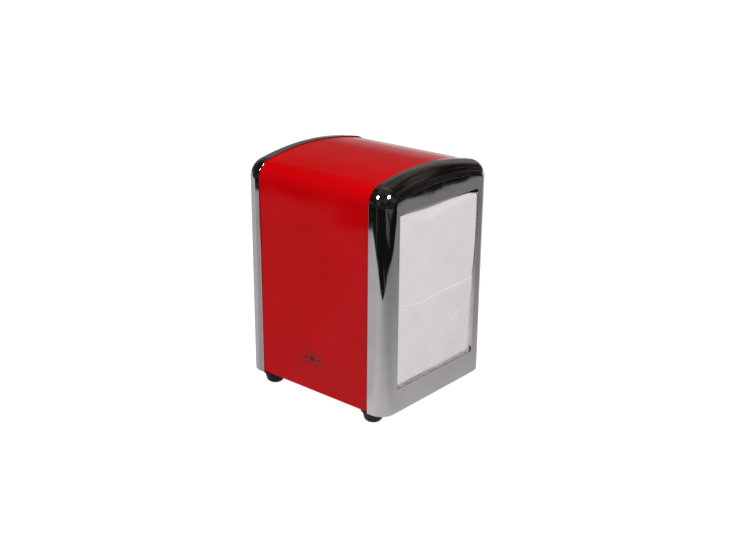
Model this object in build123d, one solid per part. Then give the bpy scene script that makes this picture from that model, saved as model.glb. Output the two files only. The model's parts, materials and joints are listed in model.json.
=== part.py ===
"""Two-sided table-top napkin dispenser, modelled as its separate pieces.

A folded steel shell with a domed top stands on four rubber feet. A pressed face plate with a
window slips over each open end and is held by two leaf clips under the dome. A partition splits
the inside into two bays. In each bay a conical spring drives a follower plate, which presses a
pack of folded napkins against the window.

Frame: millimetres, +Z up, origin on the table under the middle of the dispenser. The front
window faces -Y. Each rear piece is its front piece turned half a turn about Z.
"""

import os
from math import atan2, cos, degrees, pi, sin, sqrt

from build123d import *

# Used throughout
CLEAR = 0.05  # between touching pieces
PAST = 1.0  # how far a cutting shape runs past what it cuts

# Outside of a face plate
FACE_W = 90.0  # across the two side skirts
HEIGHT = 136.0  # table to the crown
DEPTH = 101.0  # front face to rear face
FOOT_H = 7.3  # table to the underside of the shell
CORNER_R = 10.5  # where a side turns into the dome
CROWN_R = 168.0  # curve of the dome
SKIRT = 11.5  # front face to the skirt's edge
EDGE_R = 8.5  # rounding between face and skirt
FACE_T = 0.5  # sheet thickness
RIM_R = 0.2  # rounding on the skirt's outer rim

# Window in the face plate
WINDOW_W = 67.3
WINDOW_LOW = 21.2
WINDOW_HIGH = 117.2
WINDOW_R = 0.7  # corner radius
LIP = 2.2  # face to the back of the turned-in lip
LIP_BEND = 0.75  # outside radius of the lip's bend
LIP_RELIEF = 2.4  # corner left open between two lips

# Bottom of the face plate
SOLE_DEPTH = 6.6  # bottom strip, back from the face
TONGUE_W = 72.0  # tongue that steps up over the shell's bottom flanges
TONGUE_DEPTH = 9.5  # back from the face
TONGUE_STEP = 0.7

# Shell
SLIP = 0.1  # gap between skirt and shell
SHELL_T = 0.6
SHELL_L = 86.0
FLANGE_W = 13.0  # bottom edge turned in
SHELL_BEND = 1.2

# Base plate, the floor that the napkins stand on
BASE_TOP = 11.5
BASE_T = 0.8
BASE_L = 85.2
BASE_GAP = 0.1  # to the shell's sides
BASE_SIDE_LOW = FOOT_H + 1.3  # lower edge of the side flanges
BASE_HEM_LOW = FOOT_H + 1.6  # lower edge of the end hems
BASE_BEND = 1.0

# Partition
PARTITION_T = 0.6
PARTITION_TOP = 126.0
WING = 7.0  # side flange against the shell
WING_LOW = 14.0
WING_HIGH = 118.0
TAB_W = 10.0  # bottom tab, through the base and bent over
TAB_X = 22.0
TAB_LEG = 6.0
SLOT_GAP = 0.1

# Follower
FOLLOWER_W = 83.0
FOLLOWER_LOW = 12.0
FOLLOWER_HIGH = 116.0
FOLLOWER_R = 6.0
FOLLOWER_T = 0.6
FOLLOWER_FLANGE = 5.0
FOLLOWER_BEND = 1.4
FOLLOWER_BACK = 8.3  # middle plane to the back of the plate, napkin bay full
SEAT_R = 10.0
SEAT_DEPTH = 1.2
BEAD_X = 27.0  # two upright stiffening beads
BEAD_W = 5.0
BEAD_L = 78.0
BEAD_DEPTH = 0.9

# Spring, its hooks, rivet and washer
AXIS_Z = (FOLLOWER_LOW + FOLLOWER_HIGH) / 2
WIRE_R = 0.5
COIL_BIG = 26.0
COIL_SMALL = 5.0
COIL_TURNS = 5.0
COIL_FLAT = 0.6  # turns lying flat at each end
COIL_EASE = 0.3  # turns over which the rise starts and stops
POINTS_PER_TURN = 16
HOOK_W = 5.0
HOOK_T = 0.5
HOOK_REACH = 0.8  # how far a hook covers the wire, inward of its centre
HOOK_ANGLES = (155, 250, 345)  # degrees round the spring's axis, along the big end turn
HOOK_CLEAR = 0.15
RIVET_R = 1.6
RIVET_HEAD_R = 3.8
RIVET_HEAD_H = 0.9
RIVET_HEAD_ROUND = 0.72
RIVET_SHOULDER_R = 2.7
RIVET_TAIL_R = 2.8
RIVET_TAIL_H = 0.8
WASHER_R = 8.0
WASHER_T = 0.6

# Leaf clips on the face plate, under the dome
CLIP_X = 22.0
CLIP_W = 12.0
CLIP_T = 0.4
CLIP_LOW = 118.6  # lower end of the welded leg
CLIP_BEND_Z = 123.6
CLIP_NOSE_Y = 13.5  # face to nose
CLIP_TAIL_Y = 19.0
CLIP_DROP = 2.6  # nose to tail end
CLIP_BEND_R = 1.0

# Feet
FOOT_X = 37.5
FOOT_Y = 37.25
FOOT_COLLAR_R = 6.9  # thin collar against the shell
FOOT_COLLAR_T = 0.9
FOOT_TOP_R = 6.1
FOOT_TOE_R = 4.6
FOOT_ROUND = 2.9
NECK_R = 2.4
NECK_GAP = 0.1  # radial
BARB_R = 3.3
BARB_TIP_R = 1.8
BARB_TOP = FOOT_H + 2.4

# Napkins
NAPKIN_W = 85.0
NAPKIN_TOP = 117.0
NAPKIN_R = 1.5
TOP_NAPKIN_T = 1.0  # the outermost folded napkin
PAD_MARGIN = 1.2  # window edge to the part that swells into it
PAD_RISE = 1.3
PAD_TAPER = 25.0  # degrees

# Worked-out places
FACE_Y = DEPTH / 2
CORNER_X = FACE_W / 2 - CORNER_R
CROWN_Z = HEIGHT - CROWN_R
CORNER_Z = CROWN_Z + sqrt((CROWN_R - CORNER_R) ** 2 - CORNER_X**2)
TANGENT = degrees(atan2(CORNER_Z - CROWN_Z, CORNER_X))
SHELL_OUT = FACE_T + SLIP  # inset of the shell's outer skin from the face plate's
SHELL_IN = SHELL_OUT + SHELL_T
INNER_W = FACE_W - 2 * SHELL_IN
SHELL_FLOOR = FOOT_H + SHELL_T
PARTITION_Y = PARTITION_T / 2
NAPKIN_FRONT = FACE_Y - LIP - CLEAR
HALF_TURN = Rot(0, 0, 180)


def slab(face, near, far):
    """The XZ-plane face pulled into a solid between y = near and y = far."""
    return Pos(0, far, 0) * extrude(face, far - near)


def arch(inset, bottom):
    """Face in the XZ plane: straight sides, round corners and a domed top."""
    half = FACE_W / 2 - inset
    corner = CORNER_R - inset
    edges = [
        Line((half, bottom), (half, CORNER_Z)),
        CenterArc((CORNER_X, CORNER_Z), corner, 0, TANGENT),
        CenterArc((0, CROWN_Z), CROWN_R - inset, TANGENT, 180 - 2 * TANGENT),
        CenterArc((-CORNER_X, CORNER_Z), corner, 180 - TANGENT, TANGENT),
        Line((-half, CORNER_Z), (-half, bottom)),
        Line((-half, bottom), (half, bottom)),
    ]
    return Plane.XZ * make_face(edges)


def upright(width, low, high, radius, middle=0.0):
    """Rounded rectangle in the XZ plane."""
    shape = RectangleRounded(width, high - low, radius)
    return Plane.XZ * (Pos(middle, (low + high) / 2) * shape)


def block(x_size, near, far, low, high, middle=0.0):
    """Box between y = near and far and z = low and high, centred on x = middle."""
    place = Pos(middle, (near + far) / 2, (low + high) / 2)
    return place * Box(x_size, far - near, high - low)


def disc(radius, near, far, z=AXIS_Z):
    """Round plate on the spring's axis."""
    return slab(Plane.XZ * (Pos(0, z) * Circle(radius)), near, far)


def arch_cap(inset, radius):
    """Solid arch with its front edge rounded on the sides and the dome."""
    cap = slab(arch(inset, FOOT_H + inset), -FACE_Y + inset, -FACE_Y + SKIRT + inset)
    front = cap.edges().group_by(Axis.Y)[0]
    rim = front.filter_by(lambda e: e.center().Z > FOOT_H + inset + CLEAR)
    return fillet(rim, radius)


def with_sole(plate):
    """The plate with its bottom strip cut to depth and a tongue that steps over the shell's flanges."""
    sole_top = FOOT_H + FACE_T
    sole_back = -FACE_Y + SOLE_DEPTH
    plate -= block(
        FACE_W - 2 * FACE_T, sole_back, -FACE_Y + SKIRT + PAST, FOOT_H - PAST, sole_top
    )
    tongue_low = sole_top + TONGUE_STEP - FACE_T + CLEAR
    tongue_top = tongue_low + FACE_T
    riser_front = sole_back - FACE_T
    plate += block(TONGUE_W, riser_front, sole_back, FOOT_H, tongue_top)
    return plate + block(
        TONGUE_W, riser_front, -FACE_Y + TONGUE_DEPTH, tongue_low, tongue_top
    )


def with_window(plate):
    """The plate opened by the window, whose four edges turn in as lips that stop short of the corners."""
    outline = upright(
        WINDOW_W + 2 * FACE_T, WINDOW_LOW - FACE_T, WINDOW_HIGH + FACE_T, WINDOW_R + FACE_T
    )
    lip = slab(outline, -FACE_Y + FACE_T / 2, -FACE_Y + LIP)
    relief = Box(2 * LIP_RELIEF, LIP, 2 * LIP_RELIEF)
    for x in (-WINDOW_W / 2, WINDOW_W / 2):
        for z in (WINDOW_LOW, WINDOW_HIGH):
            lip -= Pos(x, -FACE_Y + FACE_T + LIP / 2, z) * relief
    opening = upright(WINDOW_W, WINDOW_LOW, WINDOW_HIGH, WINDOW_R)
    return plate + lip - slab(opening, -FACE_Y - PAST, -FACE_Y + LIP + PAST)


def face_plate():
    """Pressed plate with skirts on three sides, a sole strip, a tongue and a lipped window."""
    outer = arch_cap(0, EDGE_R)
    rim = outer.edges().group_by(Axis.Y)[-1].filter_by(lambda e: e.center().Z > FOOT_H + CLEAR)
    plate = fillet(rim, RIM_R) - arch_cap(FACE_T, EDGE_R - FACE_T)
    plate = with_window(with_sole(plate))
    front = plate.edges().filter_by(lambda e: abs(e.center().Y + FACE_Y) < CLEAR)
    half_w = WINDOW_W / 2 + CLEAR
    mouth = front.filter_by(
        lambda e: abs(e.center().X) < half_w
        and WINDOW_LOW - CLEAR < e.center().Z < WINDOW_HIGH + CLEAR
    )
    return fillet(mouth, LIP_BEND - FACE_T)


def leaf_clip(x):
    """Spring strip: a leg on the back of the face, a rise to a nose under the dome, a tail."""
    edge_x = abs(x) + CLIP_W / 2
    dome = CROWN_Z + sqrt((CROWN_R - SHELL_IN) ** 2 - edge_x**2)
    nose_z = dome - CLEAR - CLIP_T
    leg_y = -FACE_Y + FACE_T + CLEAR + CLIP_T / 2
    path = FilletPolyline(
        (leg_y, CLIP_LOW),
        (leg_y, CLIP_BEND_Z),
        (-FACE_Y + CLIP_NOSE_Y, nose_z),
        (-FACE_Y + CLIP_TAIL_Y, nose_z - CLIP_DROP),
        radius=CLIP_BEND_R,
    )
    strip = Plane.YZ * trace(path, CLIP_T)
    return Pos(x, 0, 0) * extrude(strip, CLIP_W / 2, both=True)


def body_shell():
    """Sheet folded over the top and down both sides, its bottom edges turned in."""
    skin = slab(arch(SHELL_OUT, FOOT_H), -SHELL_L / 2, SHELL_L / 2)
    hollow = slab(arch(SHELL_IN, SHELL_FLOOR), -SHELL_L / 2, SHELL_L / 2)
    long_edges = skin.edges().filter_by(Axis.Y).group_by(Axis.Z)[0]
    skin = fillet(long_edges, SHELL_BEND)
    inner_edges = hollow.edges().filter_by(Axis.Y).group_by(Axis.Z)[0]
    hollow = fillet(inner_edges, SHELL_BEND - SHELL_T)
    shell = skin - hollow
    shell -= block(
        INNER_W - 2 * FLANGE_W, -SHELL_L / 2, SHELL_L / 2, FOOT_H - PAST, SHELL_FLOOR + PAST
    )
    for x, y in foot_places().values():
        shell -= Pos(x, y, FOOT_H) * Cylinder(NECK_R + NECK_GAP, 2 * (SHELL_T + PAST))
    return shell


def base_plate():
    """Raised floor: an upside-down tray standing on its side flanges, with two tab slots."""
    width = INNER_W - 2 * BASE_GAP
    half_l = BASE_L / 2
    tray = block(width, -half_l, half_l, BASE_SIDE_LOW, BASE_TOP)
    tray = fillet(tray.edges().group_by(Axis.Z)[-1], BASE_BEND)
    under = BASE_TOP - BASE_T
    cave = block(
        width - 2 * BASE_T, -half_l + BASE_T, half_l - BASE_T, BASE_SIDE_LOW - PAST, under
    )
    tray -= cave
    for y in (-half_l, half_l):
        below_hem = block(width - 2 * BASE_T, y - PAST, y + PAST, BASE_SIDE_LOW - PAST, BASE_HEM_LOW)
        tray -= below_hem
    slot = PARTITION_Y + SLOT_GAP
    for x in (-TAB_X, TAB_X):
        tray -= block(TAB_W + 2 * SLOT_GAP, -slot, slot, under - PAST, BASE_TOP + PAST, x)
    return tray


def on_axis(lying, angle):
    """Turns a shape drawn beside the Z axis by angle and stands it on the front of the partition."""
    return Pos(0, 0, AXIS_Z) * (Rot(90, 0, 0) * (Rot(0, 0, angle) * lying))


def hook(angle):
    """Lanced hook on the partition's front that keeps the spring's big coil down."""
    wire_far = PARTITION_Y + CLEAR + 2 * WIRE_R + HOOK_CLEAR
    inner = COIL_BIG - HOOK_REACH
    post_in = COIL_BIG + WIRE_R + HOOK_CLEAR
    outer = post_in + HOOK_T
    top = wire_far + HOOK_T
    post = Pos((post_in + outer) / 2, 0, top / 2) * Box(HOOK_T, HOOK_W, top)
    tip = Pos((inner + outer) / 2, 0, wire_far + HOOK_T / 2) * Box(outer - inner, HOOK_W, HOOK_T)
    return on_axis(post + tip, angle)


def hook_hole(angle):
    """Opening that the hook was bent out of."""
    near = COIL_BIG + WIRE_R + HOOK_CLEAR + HOOK_T
    depth = 2 * WIRE_R + HOOK_T + HOOK_REACH
    cut = Pos(near + depth / 2, 0, 0) * Box(depth, HOOK_W, 2 * (PARTITION_Y + PAST))
    return on_axis(cut, angle)


def partition():
    """Upright plate with welded wings, bent-over bottom tabs and three hooks on each face."""
    plate = slab(arch(SHELL_IN + BASE_GAP, BASE_TOP), -PARTITION_Y, PARTITION_Y)
    plate -= block(FACE_W, -PAST, PAST, PARTITION_TOP, HEIGHT)
    wing_x = INNER_W / 2 - BASE_GAP - PARTITION_Y
    for x in (-wing_x, wing_x):
        plate += block(PARTITION_T, -PARTITION_Y, WING, WING_LOW, WING_HIGH, x)
    under = BASE_TOP - BASE_T - CLEAR
    for x in (-TAB_X, TAB_X):
        plate += block(TAB_W, -PARTITION_Y, PARTITION_Y, under - PARTITION_T, BASE_TOP, x)
        plate += block(TAB_W, -PARTITION_Y, TAB_LEG, under - PARTITION_T, under, x)
    for angle in HOOK_ANGLES:
        hole = hook_hole(angle)
        finger = hook(angle)
        plate = plate - hole - HALF_TURN * hole
        plate = plate + finger + HALF_TURN * finger
    return plate


def emboss(sheet, shape, grown, front, depth):
    """Presses a region of the sheet back by depth. grown is the region plus the sheet's thickness."""
    back = front + FOLLOWER_T
    sheet += slab(grown, back - CLEAR, back + depth)
    return sheet - slab(shape, front - PAST, front + depth)


def follower():
    """Pan-shaped plate that presses the napkins, with a spring seat and two beads."""
    front = -FOLLOWER_BACK - FOLLOWER_T
    rim = -FOLLOWER_BACK + FOLLOWER_FLANGE
    outline = upright(FOLLOWER_W, FOLLOWER_LOW, FOLLOWER_HIGH, FOLLOWER_R)
    solid = slab(outline, front, rim)
    solid = fillet(solid.edges().group_by(Axis.Y)[0], FOLLOWER_BEND)
    inside = slab(
        upright(
            FOLLOWER_W - 2 * FOLLOWER_T,
            FOLLOWER_LOW + FOLLOWER_T,
            FOLLOWER_HIGH - FOLLOWER_T,
            FOLLOWER_R - FOLLOWER_T,
        ),
        -FOLLOWER_BACK,
        rim + PAST,
    )
    inside = fillet(inside.edges().group_by(Axis.Y)[0], FOLLOWER_BEND - FOLLOWER_T)
    plate = solid - inside
    seat = Plane.XZ * (Pos(0, AXIS_Z) * Circle(SEAT_R))
    seat_grown = Plane.XZ * (Pos(0, AXIS_Z) * Circle(SEAT_R + FOLLOWER_T))
    plate = emboss(plate, seat, seat_grown, front, SEAT_DEPTH)
    for x in (-BEAD_X, BEAD_X):
        bead = Plane.XZ * (Pos(x, AXIS_Z) * SlotOverall(BEAD_L, BEAD_W, rotation=90))
        grown = Plane.XZ * (
            Pos(x, AXIS_Z)
            * SlotOverall(BEAD_L + 2 * FOLLOWER_T, BEAD_W + 2 * FOLLOWER_T, rotation=90)
        )
        plate = emboss(plate, bead, grown, front, BEAD_DEPTH)
    return plate - disc(RIVET_R + CLEAR, front - PAST, rim)


SEAT_FRONT = -FOLLOWER_BACK - FOLLOWER_T + SEAT_DEPTH
SEAT_BACK = SEAT_FRONT + FOLLOWER_T
WIRE_SMALL_Y = SEAT_BACK + CLEAR + WIRE_R
WIRE_BIG_Y = -(PARTITION_Y + CLEAR + WIRE_R)
WASHER_Y = WIRE_SMALL_Y + WIRE_R + CLEAR


def climb(turn):
    """Share of the rise from small end to big end at a turn: level, eased in, steady, eased out."""
    last = COIL_TURNS - 2 * COIL_FLAT
    at = min(max(turn - COIL_FLAT, 0), last)
    steady = last - COIL_EASE
    if at < COIL_EASE:
        return at**2 / (2 * COIL_EASE * steady)
    if at > last - COIL_EASE:
        return 1 - (last - at) ** 2 / (2 * COIL_EASE * steady)
    return (at - COIL_EASE / 2) / steady


def spring():
    """Conical coil whose end turns lie flat, one on the follower and one on the partition."""
    count = int(COIL_TURNS * POINTS_PER_TURN)
    points = []
    for i in range(count + 1):
        turn = COIL_TURNS * i / count
        share = climb(turn)
        radius = COIL_SMALL + (COIL_BIG - COIL_SMALL) * share
        y = WIRE_SMALL_Y + (WIRE_BIG_Y - WIRE_SMALL_Y) * share
        angle = 2 * pi * turn
        points.append((radius * cos(angle), y, AXIS_Z + radius * sin(angle)))
    path = Spline(*points)
    section = Plane(origin=path @ 0, z_dir=path % 0) * Circle(WIRE_R)
    return sweep(section, path=path, is_frenet=False)


def washer():
    return disc(WASHER_R, WASHER_Y, WASHER_Y + WASHER_T) - disc(
        RIVET_R + CLEAR, WASHER_Y - PAST, WASHER_Y + WASHER_T + PAST
    )


def rivet():
    """Low round head in the follower's seat, shouldered shank, tail spread over the washer."""
    head = disc(RIVET_HEAD_R, SEAT_FRONT - RIVET_HEAD_H, SEAT_FRONT)
    head = fillet(head.edges().group_by(Axis.Y)[0], RIVET_HEAD_ROUND)
    tail_y = WASHER_Y + WASHER_T
    shank = disc(RIVET_R, SEAT_FRONT, tail_y)
    shoulder = disc(RIVET_SHOULDER_R, SEAT_BACK, WASHER_Y)
    tail = disc(RIVET_TAIL_R, tail_y, tail_y + RIVET_TAIL_H)
    tail = fillet(tail.edges().group_by(Axis.Y)[-1], RIVET_TAIL_H / 2)
    return head + shank + shoulder + tail


def foot_places():
    """Name and centre of each foot. Left is -X and front is -Y."""
    return {
        f"foot_{end}_{side}": (x, y)
        for end, y in (("front", -FOOT_Y), ("rear", FOOT_Y))
        for side, x in (("left", -FOOT_X), ("right", FOOT_X))
    }


def foot():
    """Collared, round-bottomed rubber foot whose barbed stem snaps into the shell's flange."""
    body = make_face(
        Polyline(
            (0, 0),
            (FOOT_TOE_R, 0),
            (FOOT_TOP_R, FOOT_H - FOOT_COLLAR_T),
            (FOOT_COLLAR_R, FOOT_H - FOOT_COLLAR_T),
            (FOOT_COLLAR_R, FOOT_H),
            (0, FOOT_H),
            close=True,
        )
    )
    toe = body.vertices().group_by(Axis.Y)[0].sort_by(Axis.X)[-1]
    body = fillet(toe, FOOT_ROUND)
    barb_low = SHELL_FLOOR + CLEAR
    stem = make_face(
        Polyline(
            (0, FOOT_H - CLEAR),
            (NECK_R, FOOT_H - CLEAR),
            (NECK_R, barb_low),
            (BARB_R, barb_low),
            (BARB_TIP_R, BARB_TOP),
            (0, BARB_TOP),
            close=True,
        )
    )
    return revolve(Plane.XZ * (body + stem), Axis.Z)


def napkin_pack():
    """The folded napkins between the follower and the outermost one."""
    return slab(
        upright(NAPKIN_W, BASE_TOP + CLEAR, NAPKIN_TOP, NAPKIN_R),
        -NAPKIN_FRONT + TOP_NAPKIN_T + CLEAR,
        -FOLLOWER_BACK - FOLLOWER_T - CLEAR,
    )


def top_napkin():
    """The outermost folded napkin, swelling into the window."""
    sheet = slab(
        upright(NAPKIN_W, BASE_TOP + CLEAR, NAPKIN_TOP, NAPKIN_R),
        -NAPKIN_FRONT,
        -NAPKIN_FRONT + TOP_NAPKIN_T,
    )
    swell = Pos(0, -NAPKIN_FRONT + CLEAR, 0) * extrude(
        upright(
            WINDOW_W - 2 * PAD_MARGIN,
            WINDOW_LOW + PAD_MARGIN,
            WINDOW_HIGH - 2 * PAD_MARGIN,
            2 * NAPKIN_R,
        ),
        PAD_RISE + CLEAR,
        taper=PAD_TAPER,
    )
    room = arch_cap(FACE_T + CLEAR, EDGE_R - FACE_T - CLEAR)
    return (sheet & room) + swell


def pieces():
    """Every node's name and solid."""
    made = {
        "body_shell": body_shell(),
        "base_plate": base_plate(),
        "centre_partition": partition(),
    }
    for name, (x, y) in foot_places().items():
        made[name] = Pos(x, y, 0) * foot()
    ends = {
        "face_plate": face_plate(),
        "follower_plate": follower(),
        "follower_spring": spring(),
        "spring_washer": washer(),
        "spring_rivet": rivet(),
        "napkin_pack": napkin_pack(),
        "top_napkin": top_napkin(),
    }
    for name, piece in ends.items():
        made[f"front_{name}"] = piece
        made[f"rear_{name}"] = HALF_TURN * piece
    for side, x in (("left", -CLIP_X), ("right", CLIP_X)):
        made[f"front_clip_{side}"] = leaf_clip(x)
        made[f"rear_clip_{side}"] = HALF_TURN * leaf_clip(-x)
    return made


os.makedirs("parts", exist_ok=True)
for node, solid in pieces().items():
    export_step(solid, f"parts/{node}.step")
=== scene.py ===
"""Looks of the table-top napkin dispenser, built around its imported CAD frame. Metres, +Z up."""

import json
import math

import bpy
from mathutils import Matrix, Vector, noise


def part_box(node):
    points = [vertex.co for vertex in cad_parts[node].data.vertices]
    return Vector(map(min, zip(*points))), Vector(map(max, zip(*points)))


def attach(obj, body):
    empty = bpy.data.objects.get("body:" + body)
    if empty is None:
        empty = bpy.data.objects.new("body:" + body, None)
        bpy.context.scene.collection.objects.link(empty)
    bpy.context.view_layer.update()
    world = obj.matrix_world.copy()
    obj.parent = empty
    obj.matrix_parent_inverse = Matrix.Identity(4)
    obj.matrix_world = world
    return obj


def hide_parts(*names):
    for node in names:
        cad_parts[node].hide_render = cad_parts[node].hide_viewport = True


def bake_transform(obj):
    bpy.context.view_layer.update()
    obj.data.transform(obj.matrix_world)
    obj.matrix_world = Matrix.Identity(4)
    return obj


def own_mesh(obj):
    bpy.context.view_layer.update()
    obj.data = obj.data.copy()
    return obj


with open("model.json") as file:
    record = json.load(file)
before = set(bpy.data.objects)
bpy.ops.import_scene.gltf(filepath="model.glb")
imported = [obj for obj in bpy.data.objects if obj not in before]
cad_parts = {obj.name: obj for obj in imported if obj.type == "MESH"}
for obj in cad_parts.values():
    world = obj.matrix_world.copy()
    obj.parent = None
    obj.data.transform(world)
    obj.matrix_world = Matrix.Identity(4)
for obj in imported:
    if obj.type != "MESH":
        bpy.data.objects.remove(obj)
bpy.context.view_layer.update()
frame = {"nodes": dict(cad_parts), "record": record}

MM = 0.001
HALF_TURN = Matrix.Rotation(math.pi, 4, "Z")

# Viewpoint, found by fitting the object's outline to a perspective camera
VIEW_AZIMUTH = -49.52  # degrees; 0 looks along +Y
VIEW_ELEVATION = 19.86
VIEW_ROLL = 0.45
VIEW_DISTANCE = 0.609
VIEW_AIM_HEIGHT = 0.070
VIEW_SHIFT_RIGHT = 0.0003
VIEW_SHIFT_UP = -0.0034
VIEW_LENS = 52.88  # mm, on a 36 mm sensor

# Napkins
LEAF = 0.32 * MM  # one leaf of a folded napkin
OUTER_LEAF = 0.8 * LEAF  # leaves of the outermost napkin
STACK_COUNT = 38
STACK_DROP = 3.4 * MM  # the pack's tops stand lower than the outermost napkin's
STACK_STEP = 1.1 * MM  # each of the five foremost napkins stands this much lower than the next
STACK_STEPS = 5
STACK_TRIM = 0.8 * MM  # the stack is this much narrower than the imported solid
OUTER_TRIM = 1.5 * MM  # the outermost napkin's sides tuck in behind the plate's rounding
LIP_START = 0.75  # shares of the half width: up to here the columns are even,
LIP_END = 0.95  # and up to here they are close, where the napkin folds round the side lip
LIP_DEPTH = 1.6 * MM  # width of that fold inside the window

CREASE_HEIGHT = 53.1 * MM  # lowest point of the folded flap's edge, above the napkin's foot
CREASE_LOW_X = -11 * MM
CREASE_LEFT_CURVE = 0.0072 / MM
CREASE_RIGHT_RISE = 2.5 * MM
CREASE_RIGHT_SPAN = 20 * MM
FLAP_LIFT = 0.34 * MM  # the folded flap stands this far in front of the leaf behind it
FLAP_ROLL = 0.9 * MM  # height over which the flap's fold rounds back

TOP_DROP = 0.9 * MM  # the top fold stands this far below the window's top, and reaches it at its crown
TOP_CROWN_X = -6 * MM
TOP_CROWN_WIDTH = 17 * MM
TOP_ROLL = 0.8 * MM  # radius of the top fold
TOP_BEND = 0.62 * math.pi  # how far round it turns
CURL_DROP = 8.2 * MM  # the curl starts this far below the window's top
CURL_LEFT_RISE = 5.1 * MM
CURL_RIGHT_RISE = 3.4 * MM
CURL_LEAN = 0.33  # how steeply the outermost napkin leans back above the curl
CURL_EASE = 0.7 * MM  # height over which the lean sets in

SWELL = 1.45 * MM  # the outermost napkin stands this far out through the window
SWELL_RIGHT = 0.90 * MM  # and this much more high up on the right
SWELL_WAVES = ((0.10 * MM, 16 * MM, 0), (0.05 * MM, 6 * MM, 4))  # depth, length and seed step
DENT_WAVE = (0.035 * MM, 11 * MM, 9)
DENTS = (  # middle x and z, half length, half width (mm), tilt (radians) and depth (mm)
    (17, 49, 7, 1.2, 0.5, 0.18),
    (20, 62, 11, 1.4, 1.2, 0.13),
    (24, 45, 13, 1.0, 1.35, 0.14),
    (8, 96, 9, 3.0, 0.3, 0.10),
    (-20, 88, 12, 2.5, 1.0, 0.05),
    (14, 30, 9, 1.6, 0.9, 0.11),
)

# Spring, as in the frame
WIRE_R = 0.5 * MM
WIRE_SIDES = 10
COIL_SMALL = 5.0 * MM  # radius of the small end
COIL_TURNS = 5.0
COIL_FLAT = 0.6  # turns that lie level at each end
COIL_EASE = 0.3  # turns over which the climb starts and stops
COIL_STEPS = 40  # per turn

# Printed mark on the left side
MARK_W = 15.0 * MM
MARK_H = 7.2 * MM
MARK_LINE = 0.45 * MM
MARK_Z = 27.0 * MM
MARK_Y = 1.0 * MM
MARK_ROUND = 2.2 * MM
MARK_DIAMOND = 2.3 * MM  # half its width and half its height
MARK_BAR = (2.6 * MM, 1.3 * MM, 0.3 * MM)  # width, height and corner radius
MARK_BAR_OUT = 4.4 * MM  # from the mark's middle to a bar's
INK_THICK = 0.012 * MM
INK_CLEAR = 0.004 * MM  # keeps the ink's back off the shell

# The floor as reflections see it: a pale mat in the dark (metres; azimuths in degrees)
MAT_LEFT = 0.332
MAT_FRONT = 0.318
MAT_NEAR = 0.250  # edge towards the camera, right in front of the object
MAT_NOTCH = 0.22  # how fast that edge moves away to both sides
MAT_EDGE = (0.90, 1.06)  # the edge value at which the mat starts and stops fading out
MAT_BEHIND = (0.30, 0.50)  # away from the camera the mat has no edge
DARK_PATCH = (-0.330, 0.205, 0.0)
DARK_PATCH_RADIUS = (0.020, 0.042)
LEFT_SIDE = -130  # what the left side of the object reflects
RIGHT_BACK = 120  # what the front of the object reflects
NEAR_LIGHT = (0.47, 0.62)  # brightness next to the object, all round and towards the camera
FAR_LIGHT = (0.185, 0.46)  # brightness far off, and the same on the left
LEFT_DIM = 0.74  # dimming of what the rear skirt reflects
BACK_LIGHT = 0.62
FADE_START = 0.05
FADE_LENGTH = 0.13
STREAK_LIGHT = 0.085
DARK_LIGHT = 0.006
BOUNCE = (0.45, 0.44, 0.45)  # floor's colour as it lights the object
CAMERA_WHITE = (0.30, 0.30, 0.30)
CAMERA_LIFT = 0.94  # with CAMERA_WHITE makes the floor as white as the background, almost without shadow

# The room as reflections see it
BACKDROP_SIDE = 142
HAZE_SIDE = 132
WARM_DARK = (1.0, 0.90, 0.82)
SOFT_LIGHT = (0.12, 0.62)  # light on matt surfaces from the level and from above

# Lamps: azimuth and elevation, in degrees
LAMPS = {"lamp_left": (-107, 40), "lamp_right": (-14, 42)}
LAMP_DISTANCE = 1.3
LAMP_SIZE = 0.30
LAMP_POWER = 9.0
FLOOR_HALF = 40.0


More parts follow.
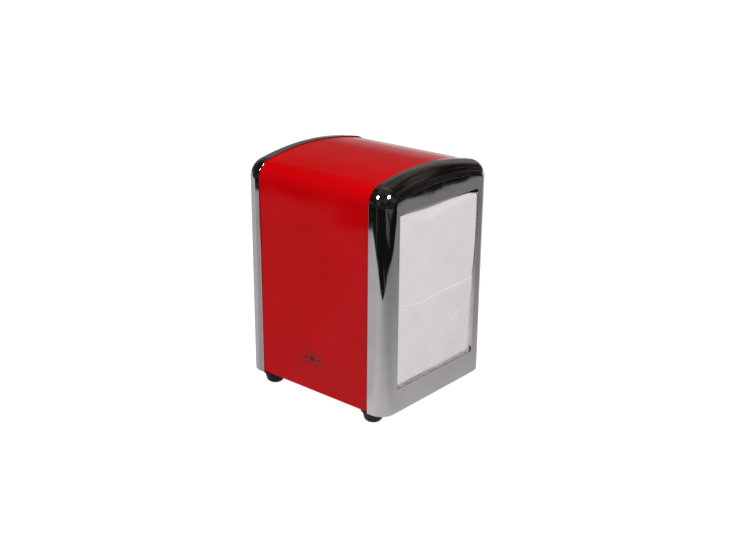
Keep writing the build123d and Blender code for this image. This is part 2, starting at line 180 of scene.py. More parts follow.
# ---------------------------------------------------------------- shader nodes
class Shader:
    """A thin wrapper that makes and links shader nodes. A value may be a number, a tuple or a socket."""

    def __init__(self, tree):
        self.tree = tree
        tree.nodes.clear()

    def set(self, socket, value):
        if isinstance(value, bpy.types.NodeSocket):
            self.tree.links.new(value, socket)
        elif isinstance(value, tuple) and socket.type == "RGBA":
            socket.default_value = (*value[:3], 1.0)
        else:
            socket.default_value = value

    def node(self, kind, settings=None, **inputs):
        made = self.tree.nodes.new(kind)
        for key, value in (settings or {}).items():
            setattr(made, key, value)
        for key, value in inputs.items():
            self.set(made.inputs[key.replace("_", " ")], value)
        return made

    def math(self, operation, a, b=0.0):
        made = self.node("ShaderNodeMath", {"operation": operation})
        for socket, value in zip(made.inputs, (a, b)):
            self.set(socket, value)
        return made.outputs[0]

    def add(self, *values):
        total = values[0]
        for value in values[1:]:
            total = self.math("ADD", total, value)
        return total

    def times(self, a, b):
        return self.math("MULTIPLY", a, b)

    def ramp(self, value, low, high, to_low=0.0, to_high=1.0):
        """Value carried smoothly from low..high to to_low..to_high, clamped."""
        made = self.node("ShaderNodeMapRange", {"interpolation_type": "SMOOTHSTEP"})
        for key, number in (("Value", value), ("From Min", low), ("From Max", high),
                            ("To Min", to_low), ("To Max", to_high)):
            self.set(made.inputs[key], number)
        return made.outputs[0]

    def mix(self, share, a, b):
        """Colour between a and b."""
        made = self.node("ShaderNodeMix", {"data_type": "RGBA"})
        self.set(made.inputs[0], share)
        self.set(made.inputs[6], a)
        self.set(made.inputs[7], b)
        return made.outputs[2]

    def mix_surfaces(self, share, a, b):
        made = self.node("ShaderNodeMixShader")
        for socket, value in zip(made.inputs, (share, a, b)):
            self.set(socket, value)
        return made.outputs[0]

    def vector(self, operation, a, b=None, output="Vector"):
        made = self.node("ShaderNodeVectorMath", {"operation": operation})
        self.set(made.inputs[0], a)
        if b is not None:
            self.set(made.inputs[1], b)
        return made.outputs[output]

    def along(self, vector, azimuth):
        """How far a vector reaches towards an azimuth."""
        return self.vector("DOT_PRODUCT", vector, tuple(direction(azimuth, 0)), "Value")

    def place(self, stretch=(1, 1, 1)):
        """Object position in metres, stretched."""
        coordinates = self.node("ShaderNodeTexCoord")
        mapping = self.node("ShaderNodeMapping", Vector=coordinates.outputs["Object"], Scale=stretch)
        return mapping.outputs[0]

    def noise(self, scale, detail=2.0, rough=0.5, stretch=(1, 1, 1)):
        made = self.node("ShaderNodeTexNoise", Vector=self.place(stretch), Scale=scale, Detail=detail,
                         Roughness=rough)
        return made.outputs["Fac"]

    def cells(self, scale):
        made = self.node("ShaderNodeTexVoronoi", Vector=self.place(), Scale=scale)
        return made.outputs[0]

    def bump(self, height, distance, strength=1.0, normal=None):
        made = self.node("ShaderNodeBump", Height=height, Distance=distance, Strength=strength)
        if normal is not None:
            self.set(made.inputs["Normal"], normal)
        return made.outputs[0]


def direction(azimuth, elevation):
    """Unit vector from the object towards an azimuth (0 is -Y, 90 is +X) and elevation, in degrees."""
    a, e = math.radians(azimuth), math.radians(elevation)
    return Vector((math.sin(a) * math.cos(e), -math.cos(a) * math.cos(e), math.sin(e)))


def material(name, build):
    """A new material whose surface is what build(shader) returns."""
    made = bpy.data.materials.new(name)
    made.use_nodes = True
    shader = Shader(made.node_tree)
    surface = build(shader)
    shader.node("ShaderNodeOutputMaterial", Surface=surface)
    return made


def principled(s, color, roughness, metallic=0.0, normal=None, **more):
    made = s.node("ShaderNodeBsdfPrincipled")
    s.set(made.inputs["Base Color"], color)
    s.set(made.inputs["Roughness"], roughness)
    s.set(made.inputs["Metallic"], metallic)
    if normal is not None:
        s.set(made.inputs["Normal"], normal)
    for key, value in more.items():
        s.set(made.inputs[key.replace("_", " ")], value)
    return made.outputs[0]


def red_paint(s):
    """Gloss enamel over steel: orange peel, slow shifts of tone and a few dust nibs."""
    tone = s.ramp(s.noise(28, 3), 0.35, 0.65)
    color = s.mix(tone, (0.452, 0.0004, 0.0016), (0.492, 0.0008, 0.0026))
    nibs = s.ramp(s.cells(260), 0.02, 0.05, 1.0, 0.0)
    peel = s.noise(900, 2)
    height = s.add(s.times(peel, 0.5), s.times(nibs, 0.4))
    normal = s.bump(height, 0.004 * MM)
    coat_rough = s.ramp(s.noise(45, 4, 0.6), 0.3, 0.7, 0.06, 0.11)
    return principled(s, color, 0.34, normal=normal, Coat_Weight=0.8, Coat_Roughness=coat_rough,
                      Coat_IOR=1.33, Coat_Normal=normal, Specular_IOR_Level=0.0)


def chrome(s):
    """Bright plating on pressed sheet: soft waviness, faint polishing lines, smears and pinholes."""
    waves = s.noise(24, 2, 0.5, (1, 1, 0.45))
    lines = s.noise(1400, 3, 0.6, (1, 1, 0.05))
    pits = s.ramp(s.cells(330), 0.015, 0.04, 1.0, 0.0)
    smears = s.ramp(s.noise(60, 5, 0.65), 0.35, 0.75)
    color = s.mix(smears, (0.80, 0.785, 0.80), (0.74, 0.725, 0.745))
    rough = s.ramp(smears, 0.0, 1.0, 0.032, 0.070)
    rough = s.add(rough, s.times(pits, 0.2))
    wave_normal = s.bump(waves, 0.10 * MM)
    scratches = s.math("SUBTRACT", s.times(lines, 0.3), pits)
    normal = s.bump(scratches, 0.0007 * MM, normal=wave_normal)
    return principled(s, color, rough, 1.0, normal)


def zinc(s):
    """Zinc-plated sheet: spangle, rolling lines and a slight yellow tint."""
    spangle = s.cells(240)
    rolled = s.noise(700, 4, 0.6, (0.04, 1, 1))
    color = s.mix(s.ramp(spangle, 0.0, 0.8), (0.56, 0.57, 0.59), (0.66, 0.65, 0.60))
    rough = s.ramp(rolled, 0.3, 0.7, 0.26, 0.42)
    normal = s.bump(rolled, 0.004 * MM)
    return principled(s, color, rough, 1.0, normal, Anisotropic=0.4)


def spring_wire(s):
    """Drawn spring wire: dark oil film, die lines and bright rubbed spots."""
    drawn = s.noise(2600, 3, 0.6)
    rubbed = s.ramp(s.noise(300, 3), 0.5, 0.7)
    color = s.mix(rubbed, (0.30, 0.29, 0.28), (0.52, 0.51, 0.49))
    normal = s.bump(drawn, 0.006 * MM)
    return principled(s, color, s.ramp(drawn, 0.3, 0.7, 0.22, 0.38), 1.0, normal)


def rubber(s):
    """Moulded black rubber: fine grain and a slightly paler, matter bloom in patches."""
    grain = s.noise(3500, 4, 0.7)
    bloom = s.ramp(s.noise(160, 4, 0.6), 0.4, 0.8)
    color = s.mix(bloom, (0.008, 0.0078, 0.008), (0.019, 0.0185, 0.019))
    normal = s.bump(grain, 0.02 * MM, 0.8)
    rough = s.ramp(bloom, 0.0, 1.0, 0.38, 0.55)
    return principled(s, color, rough, normal=normal, Specular_IOR_Level=0.3)


def tissue(s):
    """Soft one-ply tissue: fibre grain, fine embossed dots and cloudy thickness."""
    fibre = s.noise(2200, 6, 0.75, (1, 1, 0.6))
    cloud = s.noise(70, 4, 0.6)
    dots = s.ramp(s.cells(700), 0.10, 0.42, 0.0, 1.0)
    color = s.mix(s.ramp(cloud, 0.3, 0.7), (0.87, 0.842, 0.846), (0.91, 0.886, 0.888))
    height = s.add(s.times(fibre, 0.5), s.times(dots, 0.22))
    normal = s.bump(height, 0.05 * MM, 0.8)
    paper = principled(s, color, 0.92, normal=normal, Sheen_Weight=0.15, Sheen_Roughness=0.6,
                       Specular_IOR_Level=0.15)
    glow = s.node("ShaderNodeBsdfTranslucent", Color=color, Normal=normal)
    return s.mix_surfaces(0.12, paper, glow.outputs[0])


def ink(s):
    """Screen-printed dark ink, slightly worn."""
    wear = s.ramp(s.noise(1500, 4, 0.7), 0.35, 0.75)
    color = s.mix(wear, (0.012, 0.002, 0.003), (0.050, 0.004, 0.006))
    return principled(s, color, s.ramp(wear, 0, 1, 0.35, 0.5), normal=s.bump(wear, 0.004 * MM),
                      Coat_Weight=0.3, Coat_Roughness=0.1)


# ---------------------------------------------------------------- mesh helpers
def mesh_object(name, points, faces, look, body=None, smooth=True):
    data = bpy.data.meshes.new(name)
    data.from_pydata(points, [], faces)
    data.validate()
    data.polygons.foreach_set("use_smooth", [smooth] * len(data.polygons))
    data.materials.append(look)
    made = bpy.data.objects.new(name, data)
    bpy.context.scene.collection.objects.link(made)
    if body:
        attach(made, body)
    return made


def grid_faces(rows, columns, start=0, flip=False):
    faces = []
    for i in range(rows - 1):
        for j in range(columns - 1):
            a = start + i * columns + j
            quad = (a, a + 1, a + columns + 1, a + columns)
            faces.append(quad[::-1] if flip else quad)
    return faces


def sheet(rows, columns, surface, thickness):
    """Closed thin sheet as (points, faces). surface(u, v) gives its middle; u and v run 0 to 1."""
    middle = []
    for i in range(rows):
        v = i / (rows - 1)
        middle.append([Vector(surface(j / (columns - 1), v)) for j in range(columns)])
    front, back = [], []
    for i in range(rows):
        for j in range(columns):
            across = middle[i][min(j + 1, columns - 1)] - middle[i][max(j - 1, 0)]
            along = middle[min(i + 1, rows - 1)][j] - middle[max(i - 1, 0)][j]
            normal = across.cross(along).normalized() * (thickness / 2)
            front.append(middle[i][j] + normal)
            back.append(middle[i][j] - normal)
    count = rows * columns
    faces = grid_faces(rows, columns) + grid_faces(rows, columns, count, flip=True)
    rim = list(range(columns))
    rim += [i * columns + columns - 1 for i in range(1, rows)]
    rim += [(rows - 1) * columns + j for j in range(columns - 2, -1, -1)]
    rim += [i * columns for i in range(rows - 2, 0, -1)]
    for a, b in zip(rim, rim[1:] + rim[:1]):
        faces.append((b, a, a + count, b + count))
    return front + back, faces


def join(parts):
    """Several (points, faces) lists as one."""
    points, faces = [], []
    for part_points, part_faces in parts:
        start = len(points)
        points += part_points
        faces += [tuple(start + k for k in face) for face in part_faces]
    return points, faces


def turned(points, turn):
    return [turn @ Vector(p) for p in points]


def smoothstep(low, high, value):
    t = min(max((value - low) / (high - low), 0.0), 1.0)
    return t * t * (3 - 2 * t)


def wobble(x, y, scale, seed):
    return noise.noise(Vector((x / scale, y / scale, seed)))


# ---------------------------------------------------------------- places from the frame
def window_of(node):
    """(half width, low edge, high edge) of the window in a face plate, between its lips."""
    low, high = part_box(node)
    end = node.split("_")[0]
    openings = frame["record"]["physics"]["openings"]
    box_low, box_high = next(o["box_m"] for o in openings if o["name"] == f"{end}_window")
    points = [v.co for v in frame["nodes"][node].data.vertices]
    inner = [p for p in points if low.x * 0.85 < p.x < high.x * 0.85]
    middle_z = (box_low[2] + box_high[2]) / 2
    half = min(abs(p.x) for p in inner if abs(p.z - middle_z) < 0.047)
    bottom = max(p.z for p in inner if p.z < box_low[2] and abs(p.x) < box_high[0])
    top = min(p.z for p in inner if p.z > box_high[2] and abs(p.x) < box_high[0])
    return half, bottom, top


WINDOW_HALF, WINDOW_LOW, WINDOW_HIGH = window_of("front_face_plate")
NAPKIN_LOW, NAPKIN_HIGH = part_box("front_top_napkin")
PACK_LOW, PACK_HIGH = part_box("front_napkin_pack")
SHELL_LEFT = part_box("body_shell")[0].x
SHEET_Y = PACK_LOW.y - 0.5 * MM  # middle of the outermost napkin's front leaf, where nothing presses it


# ---------------------------------------------------------------- napkins
def crease(x):
    """Height of the folded flap's edge: lowest left of the middle, rising a little to both sides."""
    left = max(CREASE_LOW_X - x, 0)
    right = max(x - CREASE_LOW_X, 0)
    rise = CREASE_LEFT_CURVE * left**2 + CREASE_RIGHT_RISE * (1 - math.exp(-right / CREASE_RIGHT_SPAN))
    return NAPKIN_LOW.z + CREASE_HEIGHT + rise


def napkin_x(u):
    """x across the outermost napkin, with closer columns where it folds round the window's side lips."""
    half = (NAPKIN_HIGH.x - NAPKIN_LOW.x) / 2 - OUTER_TRIM
    lip_in, lip_out = WINDOW_HALF - LIP_DEPTH, WINDOW_HALF + 0.1 * MM
    side = abs(2 * u - 1)
    if side < LIP_START:
        x = lip_in * side / LIP_START
    elif side < LIP_END:
        x = lip_in + (lip_out - lip_in) * (side - LIP_START) / (LIP_END - LIP_START)
    else:
        x = lip_out + (half - lip_out) * (side - LIP_END) / (1 - LIP_END)
    return math.copysign(x, u - 0.5)


def top_edge(x):
    """Height of the outermost napkin's top fold: highest near the middle, with both corners turned down."""
    crown = TOP_DROP * math.exp(-(((x - TOP_CROWN_X) / TOP_CROWN_WIDTH) ** 2))
    slope = 0.8 * MM * smoothstep(0.0, 36 * MM, x)
    right_corner = 1.2 * MM * smoothstep(26 * MM, 34 * MM, x)
    left_corner = 0.9 * MM * smoothstep(24 * MM, 34 * MM, -x)
    return WINDOW_HIGH - TOP_DROP + crown - slope - right_corner - left_corner


def curl_edge(x):
    """Height from which the outermost napkin leans back, lowest left of the middle."""
    left = CURL_LEFT_RISE * smoothstep(-9 * MM, -33 * MM, x)
    right = CURL_RIGHT_RISE * smoothstep(-8 * MM, 14 * MM, x)
    return WINDOW_HIGH - CURL_DROP + left + right


def waves(x, z, wave, seed):
    depth, length, step = wave
    return depth * wobble(x, z, length, seed + step)


def swell(x, z, seed):
    """How far the outermost napkin stands out through the window; low on the right it keeps off the lip."""
    low_right = 1 - smoothstep(WINDOW_LOW + 5 * MM, WINDOW_LOW + 75 * MM, z) if x > 0 else 0.2
    start = WINDOW_HALF - (0.8 + 3.5 * low_right) * MM
    end = WINDOW_HALF - (0.2 + 0.5 * low_right) * MM
    side = 1 - smoothstep(start, end, abs(x))
    foot = smoothstep(WINDOW_LOW + 0.3 * MM, WINDOW_LOW + 1.4 * MM, z)
    full = SWELL + SWELL_RIGHT * smoothstep(-10 * MM, WINDOW_HALF, x) * (1 - low_right)
    soft = sum(waves(x, z, wave, seed) for wave in SWELL_WAVES)
    return (full + soft) * side * foot


def wrinkle(x, z, seed):
    """Slight waves, less the small dents, most of which are low on the right."""
    total = waves(x, z, DENT_WAVE, seed)
    for at_x, at_z, long, wide, tilt, deep in DENTS:
        dx, dz = x / MM - at_x, z / MM - at_z
        a = dx * math.cos(tilt) + dz * math.sin(tilt)
        b = -dx * math.sin(tilt) + dz * math.cos(tilt)
        total -= deep * MM * math.exp(-(a / long) ** 2 - (b / wide) ** 2)
    return total


def outer_face(x, z, seed):
    """y of the outermost napkin's front leaf below the curl."""
    return SHEET_Y - swell(x, z, seed) - wrinkle(x, z, seed)


def outer_surface(seed):
    """Middle surface of the outermost napkin's front leaf, leaning back and rolled over at the top."""

    def surface(u, v):
        x = napkin_x(u)
        high = top_edge(x) - TOP_ROLL
        length = high - NAPKIN_LOW.z
        run = v * (length + TOP_ROLL * TOP_BEND)
        z = NAPKIN_LOW.z + min(run, length)
        past = max(z - curl_edge(x), 0)
        y = outer_face(x, z, seed) + CURL_LEAN * past**2 / (past + CURL_EASE)
        angle = max(run - length, 0) / TOP_ROLL
        return x, y + TOP_ROLL * (1 - math.cos(angle)), z + TOP_ROLL * math.sin(angle)

    return surface


def outer_napkin(end, turn, seed):
    """Outermost napkin: front leaf that curls back at the top, folded flap before it, and back leaf."""

    def flap(u, v):
        x = napkin_x(u)
        edge = crease(x)
        z = NAPKIN_LOW.z + (edge - NAPKIN_LOW.z) * (1 - (1 - v) ** 2)
        rounding = math.sqrt(max((z - edge) / FLAP_ROLL + 1, 0))
        lift = FLAP_LIFT * (0.5 + 0.5 * smoothstep(-28 * MM, 0.0, x))
        return x, outer_face(x, z, seed) - lift * (1 - rounding**3), z

    def back_leaf(u, v):
        z = NAPKIN_LOW.z + v * (NAPKIN_HIGH.z - 10 * MM - NAPKIN_LOW.z)
        return 0.996 * napkin_x(u), SHEET_Y + LEAF + 0.06 * MM, z

    points, faces = join([
        sheet(190, 160, outer_surface(seed), OUTER_LEAF),
        sheet(110, 160, flap, OUTER_LEAF),
        sheet(12, 8, back_leaf, OUTER_LEAF),
    ])
    made = mesh_object(f"{end}_outer_napkin", turned(points, turn), faces, TISSUE, "housing")
    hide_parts(f"{end}_top_napkin")


def folded_napkin(y, width, low, high, seed):
    """One folded napkin of the pack: front leaf, turn at the foot and back leaf, a little wavy."""
    gap = 0.05 * MM
    shift = 0.35 * MM * noise.noise(Vector((seed, 0.3, 7.1)))
    top_front = high - 0.9 * MM * abs(noise.noise(Vector((seed, 5.2, 1.7))))
    top_back = high - 0.9 * MM * abs(noise.noise(Vector((seed, 9.4, 3.3))))
    reach = (LEAF + gap) / 2
    height = top_front - low
    length = height + (top_back - low) + math.pi * reach

    def surface(u, v):
        run = v * length
        wave = 0.10 * MM * noise.noise(Vector((u * 2.5, v * 4.0, seed)))
        corner = 2.6 * MM * smoothstep(0.90, 1.0, abs(2 * u - 1)) ** 2
        if run < height:
            away, z = -reach, top_front - run
        elif run < height + math.pi * reach:
            turn = (run - height) / reach
            away, z = -reach * math.cos(turn), low - reach * math.sin(turn) + reach
        else:
            away, z = reach, low + run - height - math.pi * reach
        z -= corner * smoothstep(high - 9 * MM, high, z)
        return shift + (u - 0.5) * width, y + away + wave, z

    return sheet(36, 15, surface, LEAF)


def napkin_stack(end, turn, seed):
    """The pack behind the outermost napkin, as separate folded napkins."""
    pitch = (PACK_HIGH.y - PACK_LOW.y) / STACK_COUNT
    width = PACK_HIGH.x - PACK_LOW.x - STACK_TRIM
    parts = []
    for i in range(STACK_COUNT):
        y = PACK_LOW.y + (i + 0.5) * pitch
        top = PACK_HIGH.z - STACK_DROP - STACK_STEP * max(STACK_STEPS - i, 0)
        parts.append(folded_napkin(y, width, PACK_LOW.z + 0.1 * MM, top, seed + i * 1.37))
    points, faces = join(parts)
    made = mesh_object(f"{end}_napkin_stack", turned(points, turn), faces, TISSUE, "housing")
    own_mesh(made)
    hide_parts(f"{end}_napkin_pack")


# ---------------------------------------------------------------- springs
def climb(turn):
    """Share of the rise from small to big coil: level, eased in, steady, eased out."""
    last = COIL_TURNS - 2 * COIL_FLAT
    at = min(max(turn - COIL_FLAT, 0), last)
    steady = last - COIL_EASE
    if at < COIL_EASE:
        return at**2 / (2 * COIL_EASE * steady)
    if at > last - COIL_EASE:
        return 1 - (last - at) ** 2 / (2 * COIL_EASE * steady)
    return (at - COIL_EASE / 2) / steady


def spring(end, turn):
    """Conical spring that stretches between the partition and the follower."""
    low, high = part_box("front_follower_spring")
    axis_z = (low.z + high.z) / 2
    small_y, big_y = low.y + WIRE_R, high.y - WIRE_R
    big = (high.x - low.x) / 2 - WIRE_R
    steps = int(COIL_TURNS * COIL_STEPS)
    path = []
    for i in range(steps + 1):
        at = COIL_TURNS * i / steps
        share = climb(at)
        radius = COIL_SMALL + (big - COIL_SMALL) * share
        angle = 2 * math.pi * at
        y = small_y + (big_y - small_y) * share
        path.append(Vector((radius * math.cos(angle), y, axis_z + radius * math.sin(angle))))
    points, faces = [], []
    for i, centre in enumerate(path):
        ahead = (path[min(i + 1, steps)] - path[max(i - 1, 0)]).normalized()
        across = ahead.cross(Vector((0, 1, 0))).normalized()
        over = across.cross(ahead)
        for k in range(WIRE_SIDES):
            angle = 2 * math.pi * k / WIRE_SIDES
            points.append(centre + WIRE_R * (across * math.cos(angle) + over * math.sin(angle)))
    for i in range(steps):
        for k in range(WIRE_SIDES):
            a, b = i * WIRE_SIDES + k, i * WIRE_SIDES + (k + 1) % WIRE_SIDES
            faces.append((a, b, b + WIRE_SIDES, a + WIRE_SIDES))
    faces.append(tuple(range(WIRE_SIDES)))
    faces.append(tuple(steps * WIRE_SIDES + k for k in reversed(range(WIRE_SIDES))))
    made = mesh_object(f"{end}_spring_coil", turned(points, turn), faces, SPRING_WIRE)
    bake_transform(made)
    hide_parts(f"{end}_follower_spring")


# ---------------------------------------------------------------- printed mark
def rounded_outline(width, height, radius, steps=8):
    """Points round a rounded rectangle, anticlockwise."""
    points = []
    for quarter, (sx, sy) in enumerate(((1, 1), (-1, 1), (-1, -1), (1, -1))):
        for i in range(steps + 1):
            angle = math.pi / 2 * (quarter + i / steps)
            points.append((sx * (width / 2 - radius) + radius * math.cos(angle),
                           sy * (height / 2 - radius) + radius * math.sin(angle)))
    return points


def on_side(across, up, level):
    """Point of the mark on the shell's left side; level 0 is the ink's back and 1 its face."""
    return Vector((SHELL_LEFT - INK_CLEAR - level * INK_THICK, MARK_Y - across, MARK_Z + up))


def ribbon(outline):
    """Flat closed line of ink along an outline."""
    count = len(outline)
    points, faces = [], []
    for level in (0, 1):
        for i, (a, b) in enumerate(outline):
            before, after = outline[i - 1], outline[(i + 1) % count]
            along = Vector((after[0] - before[0], after[1] - before[1])).normalized()
            for side in (-1, 1):
                out = side * MARK_LINE / 2
                points.append(on_side(a - along.y * out, b + along.x * out, level))
    lift = 2 * count
    for i in range(count):
        a, b = 2 * i, 2 * ((i + 1) % count)
        faces.append((a + lift, b + lift, b + 1 + lift, a + 1 + lift))
        faces.append((a, a + 1, b + 1, b))
        faces.append((a, b, b + lift, a + lift))
        faces.append((a + 1, a + 1 + lift, b + 1 + lift, b + 1))
    return points, faces


def decal(outline):
    """Flat filled patch of ink inside a convex outline."""
    count = len(outline)
    points = [on_side(a, b, level) for level in (0, 1) for a, b in outline]
    faces = [tuple(reversed(range(count))), tuple(range(count, 2 * count))]
    for i in range(count):
        j = (i + 1) % count
        faces.append((i, j, j + count, i + count))
    return points, faces


def side_mark():
    """Plain generic badge: a rounded frame around a diamond between two bars."""
    reach = MARK_DIAMOND
    diamond = [(reach, 0.0), (0.0, reach), (-reach, 0.0), (0.0, -reach)]
    parts = [ribbon(rounded_outline(MARK_W, MARK_H, MARK_ROUND)), decal(diamond)]
    bar = rounded_outline(*MARK_BAR, 3)
    for side in (-1, 1):
        parts.append(decal([(a + side * MARK_BAR_OUT, b) for a, b in bar]))
    points, faces = join(parts)
    made = mesh_object("side_mark", points, faces, INK, "housing", smooth=False)


# ---------------------------------------------------------------- build the object
RED_PAINT = material("red_paint_gloss", red_paint)
CHROME = material("chrome_plate", chrome)
ZINC = material("zinc_sheet", zinc)
SPRING_WIRE = material("spring_wire", spring_wire)
RUBBER = material("black_rubber", rubber)
TISSUE = material("tissue_paper", tissue)
INK = material("print_ink", ink)

LOOKS = {"red_paint": RED_PAINT, "chrome": CHROME, "zinc_steel": ZINC, "spring_steel": SPRING_WIRE,
         "black_rubber": RUBBER, "tissue": TISSUE}

for part in frame["record"]["subparts"]:
    data = frame["nodes"][part["node"]].data
    data.materials.clear()
    data.materials.append(LOOKS[part["material_slot"]])

for end, turn, seed in (("front", Matrix.Identity(4), 3.0), ("rear", HALF_TURN, 61.0)):
    outer_napkin(end, turn, seed)
    napkin_stack(end, turn, seed)
    spring(end, turn)
side_mark()


# ---------------------------------------------------------------- studio
def mat_share(s, place, aim):
    """1 on the mat that reflections see and 0 beyond its edges and in the dark patch."""
    left = s.math("MAXIMUM", s.along(place, -90), 0.0)
    front = s.math("MAXIMUM", s.along(place, 0), 0.0)
    sideways = s.math("ABSOLUTE", s.along(place, VIEW_AZIMUTH + 90))
    forward = s.math("SUBTRACT", s.along(place, VIEW_AZIMUTH), s.times(sideways, MAT_NOTCH))
    forward = s.math("MAXIMUM", forward, 0.0)
    left_edge = s.math("POWER", s.math("DIVIDE", left, MAT_LEFT), 12.0)
    front_edge = s.math("POWER", s.math("DIVIDE", front, MAT_FRONT), 12.0)
    near_edge = s.math("POWER", s.math("DIVIDE", forward, MAT_NEAR), 5.0)
    ragged = s.ramp(s.along(aim, LEFT_SIDE), -0.3, 0.5, 0.9, 0.35)
    clouds = s.times(s.math("SUBTRACT", s.noise(22, 3, 0.6), 0.5), ragged)
    edge = s.add(left_edge, near_edge, front_edge, clouds)
    from_patch = s.vector("DISTANCE", place, DARK_PATCH, "Value")
    share = s.times(s.ramp(edge, *MAT_EDGE, 1.0, 0.0), s.ramp(from_patch, *DARK_PATCH_RADIUS))
    return s.math("MAXIMUM", share, s.ramp(s.along(aim, VIEW_AZIMUTH + 180), *MAT_BEHIND))


def mat_light(s, place, aim):
    """Brightness of the mat: it falls off away from the object, and is brighter behind on the right."""
    facing_left = s.along(aim, LEFT_SIDE)
    far = s.ramp(facing_left, -0.2, 0.6, *FAR_LIGHT)
    close = s.ramp(s.along(aim, VIEW_AZIMUTH), 0.82, 0.99, *NEAR_LIGHT)
    reach = s.vector("LENGTH", place, output="Value")
    drop = s.math("EXPONENT", s.math("DIVIDE", s.math("SUBTRACT", FADE_START, reach), FADE_LENGTH))
    near = s.times(s.math("SUBTRACT", close, far), s.math("MINIMUM", drop, 1.0))
    fade = s.times(s.add(far, near), s.ramp(facing_left, 0.972, 0.995, 1.0, LEFT_DIM))
    behind = s.ramp(s.along(aim, RIGHT_BACK), 0.55, 0.92)
    return s.add(fade, s.times(behind, BACK_LIGHT))


def floor_surface(s):
    """White floor to the camera, pale grey as it lights the object, and a mat in reflections."""
    place = s.node("ShaderNodeNewGeometry").outputs["Position"]
    rays = s.node("ShaderNodeLightPath")
    aim = s.vector("NORMALIZE", place)
    streaks = s.ramp(s.noise(15, 3, 0.6, (0.10, 1, 1)), 0.54, 0.62, 0.0, STREAK_LIGHT)
    level = s.math("MAXIMUM", s.times(mat_share(s, place, aim), mat_light(s, place, aim)), streaks)
    shine = s.node("ShaderNodeEmission", Color=(1.0, 0.97, 1.0), Strength=s.add(level, DARK_LIGHT))
    seen = rays.outputs["Is Camera Ray"]
    matt = s.node("ShaderNodeBsdfDiffuse", Color=s.mix(seen, BOUNCE, CAMERA_WHITE))
    lift = s.node("ShaderNodeEmission", Color=(1.0, 1.0, 1.0), Strength=s.times(seen, CAMERA_LIFT))
    lit = s.node("ShaderNodeAddShader")
    s.set(lit.inputs[0], matt.outputs[0])
    s.set(lit.inputs[1], lift.outputs[0])
    return s.mix_surfaces(rays.outputs["Is Glossy Ray"], lit.outputs[0], shine.outputs[0])


def room_level(s, look, height):
    """Brightness of the dark room in reflections: pale backdrop behind, haze above it, ceiling and murk."""
    aim = s.vector("NORMALIZE", s.vector("MULTIPLY", look, (1.0, 1.0, 0.0)))
    behind = s.ramp(s.along(aim, BACKDROP_SIDE), 0.80, 0.97)
    backdrop = s.times(behind, s.ramp(height, 0.04, 0.22, 0.25, 0.0))
    haze_side = s.ramp(s.along(aim, HAZE_SIDE), 0.60, 0.95)
    haze = s.times(haze_side, s.ramp(height, 0.40, 0.68, 0.13, 0.040))
    ceiling = s.ramp(height, 0.75, 0.97, 0.0, 0.024)
    murk = s.node("ShaderNodeTexNoise", Vector=look, Scale=2.6, Detail=4.0, Roughness=0.6)
    murk_level = s.ramp(murk.outputs["Fac"], 0.42, 0.72, 0.008, 0.055)
    return s.add(backdrop, haze, ceiling, murk_level)


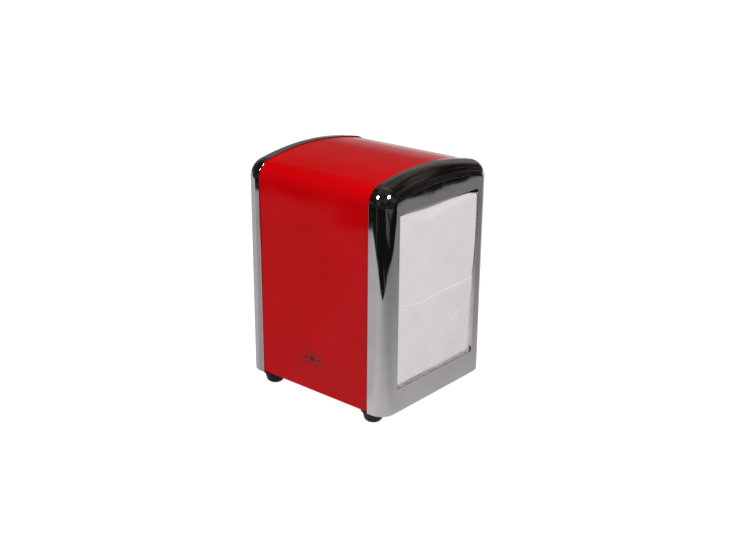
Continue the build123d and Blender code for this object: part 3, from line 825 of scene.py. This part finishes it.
def studio_world():
    """White to the camera, soft to matt surfaces, and a dark room with a pale backdrop in reflections."""
    world = bpy.data.worlds.new("studio")
    world.use_nodes = True
    world.cycles.sampling_method = "NONE"  # its light differs by kind of ray, so it isn't sampled
    bpy.context.scene.world = world
    s = Shader(world.node_tree)
    rays = s.node("ShaderNodeLightPath")
    look = s.node("ShaderNodeTexCoord").outputs["Generated"]
    height = s.node("ShaderNodeSeparateXYZ", Vector=look).outputs["Z"]
    level = room_level(s, look, height)
    warmth = s.mix(s.ramp(level, 0.05, 0.4), WARM_DARK, (1.0, 1.0, 1.0))
    room = s.node("ShaderNodeBackground", Color=warmth, Strength=level)
    soft_level = s.ramp(height, 0.0, 1.0, *SOFT_LIGHT)
    soft = s.node("ShaderNodeBackground", Color=(1.0, 0.985, 0.985), Strength=soft_level)
    white = s.node("ShaderNodeBackground", Color=(1.0, 1.0, 1.0), Strength=1.0)
    unseen = s.mix_surfaces(rays.outputs["Is Glossy Ray"], soft.outputs[0], room.outputs[0])
    surface = s.mix_surfaces(rays.outputs["Is Camera Ray"], unseen, white.outputs[0])
    s.node("ShaderNodeOutputWorld", Surface=surface)


def lamp(name, azimuth, elevation):
    """Round soft lamp aimed at the dispenser's middle."""
    data = bpy.data.lights.new(name, "AREA")
    data.shape = "DISK"
    data.size = LAMP_SIZE
    data.energy = LAMP_POWER
    made = bpy.data.objects.new(name, data)
    towards = direction(azimuth, elevation)
    made.location = Vector((0, 0, VIEW_AIM_HEIGHT)) + towards * LAMP_DISTANCE
    made.rotation_euler = towards.to_track_quat("Z", "Y").to_euler()
    bpy.context.scene.collection.objects.link(made)


def floor():
    data = bpy.data.meshes.new("floor")
    corners = [(FLOOR_HALF * x, FLOOR_HALF * y, 0) for x, y in ((-1, -1), (1, -1), (1, 1), (-1, 1))]
    data.from_pydata(corners, [], [(0, 1, 2, 3)])
    white = material("floor_white", floor_surface)
    white.cycles.emission_sampling = "NONE"  # its light differs by kind of ray, so it isn't sampled
    data.materials.append(white)
    made = bpy.data.objects.new("floor", data)
    bpy.context.scene.collection.objects.link(made)


def camera():
    data = bpy.data.cameras.new("camera")
    data.lens = VIEW_LENS
    data.sensor_width = 36.0
    made = bpy.data.objects.new("camera", data)
    back = direction(VIEW_AZIMUTH, VIEW_ELEVATION)
    right = (-back).cross(Vector((0, 0, 1))).normalized()
    up = right.cross(-back)
    roll = math.radians(VIEW_ROLL)
    aim = Vector((0, 0, VIEW_AIM_HEIGHT)) + right * VIEW_SHIFT_RIGHT + up * VIEW_SHIFT_UP
    rolled_right = right * math.cos(roll) + up * math.sin(roll)
    rolled_up = up * math.cos(roll) - right * math.sin(roll)
    turn = Matrix((rolled_right, rolled_up, back)).transposed().to_4x4()
    made.matrix_world = Matrix.Translation(aim + back * VIEW_DISTANCE) @ turn
    bpy.context.scene.collection.objects.link(made)
    bpy.context.scene.camera = made


floor()
studio_world()
for name, (azimuth, elevation) in LAMPS.items():
    lamp(name, azimuth, elevation)
camera()
bpy.context.scene.view_settings.view_transform = "Standard"
